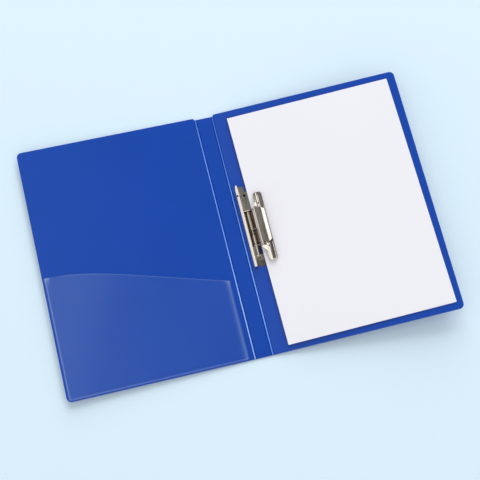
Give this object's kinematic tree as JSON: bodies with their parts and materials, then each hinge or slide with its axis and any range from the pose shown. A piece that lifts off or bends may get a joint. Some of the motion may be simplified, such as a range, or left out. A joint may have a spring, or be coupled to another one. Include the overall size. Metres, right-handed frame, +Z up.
{
  "type": "punchless file folder",
  "caption": "A4 clip folder of blue plastic sheet, open flat, with a frosted pocket in the front cover and a nickel-plated lever clip that holds loose sheets unpunched.",
  "frame": {"origin": "middle of the spine's outer face, in the plane of the table that the open folder lies on", "axes": "+X from the front cover to the back cover, +Y up the sheets, +Z up from the table, out of the inside"},
  "size_m": [0.4846, 0.313, 0.0248],
  "materials": {
    "front_cover": "satin polypropylene sheet, blue",
    "spine_panel": "satin polypropylene sheet, blue",
    "back_cover": "satin polypropylene sheet, blue",
    "document_pocket": "frosted translucent polypropylene film",
    "spine_label_sleeve": "clear film",
    "clip_base": "bright nickel plate on steel",
    "hinge_rod": "bright nickel plate on steel",
    "clamp_plate": "bright nickel plate on steel",
    "clamp_spring": "spring steel wire",
    "lever": "bright nickel plate on steel",
    "lever_pin": "bright nickel plate on steel",
    "upper_rivet": "bright nickel plate on steel",
    "lower_rivet": "bright nickel plate on steel",
    "upper_rivet_washer": "bright nickel plate on steel",
    "lower_rivet_washer": "bright nickel plate on steel",
    "paper_stack": "matte white office paper"
  },
  "bodies": {
    "back_cover": {"back_cover": "back_cover", "clip_base": "clip_base", "hinge_rod": "hinge_rod", "upper_rivet": "upper_rivet", "lower_rivet": "lower_rivet", "upper_rivet_washer": "upper_rivet_washer", "lower_rivet_washer": "lower_rivet_washer"},
    "spine": {"spine_panel": "spine_panel", "spine_label_sleeve": "spine_label_sleeve"},
    "front_cover": {"front_cover": "front_cover", "document_pocket": "document_pocket"},
    "clamp": {"clamp_plate": "clamp_plate", "lever_pin": "lever_pin", "clamp_spring": "clamp_spring"},
    "lever": {"lever": "lever"},
    "paper": {"paper_stack": "paper_stack"}
  },
  "joints": [
    {"name": "back_hinge", "type": "hinge", "parent": "back_cover", "child": "spine", "pos_m": [0.0109, 0, 0.001], "axis": [0, 1, 0], "range_deg": [-95.5, 84.5]},
    {"name": "front_hinge", "type": "hinge", "parent": "spine", "child": "front_cover", "pos_m": [-0.0109, 0, 0.001], "axis": [0, 1, 0], "range_deg": [-91.5, 88.5]},
    {"name": "clamp_hinge", "type": "hinge", "parent": "back_cover", "child": "clamp", "pos_m": [0.02399, 0, 0.00698], "axis": [0, -1, 0], "range_deg": [0, 12]},
    {"name": "lever_flip", "type": "hinge", "parent": "clamp", "child": "lever", "pos_m": [0.03173, 0, 0.01315], "axis": [0, -1, 0], "range_deg": [0, 144]},
    {"name": "paper_slide", "type": "slide", "parent": "back_cover", "child": "paper", "axis": [0.9961, 0.0105, 0.0877], "range_m": [0, 0.02]}
  ],
  "couplings": [
    {"joint": "clamp_hinge", "follows": "lever_flip", "ratio": 0.083333}
  ]
}
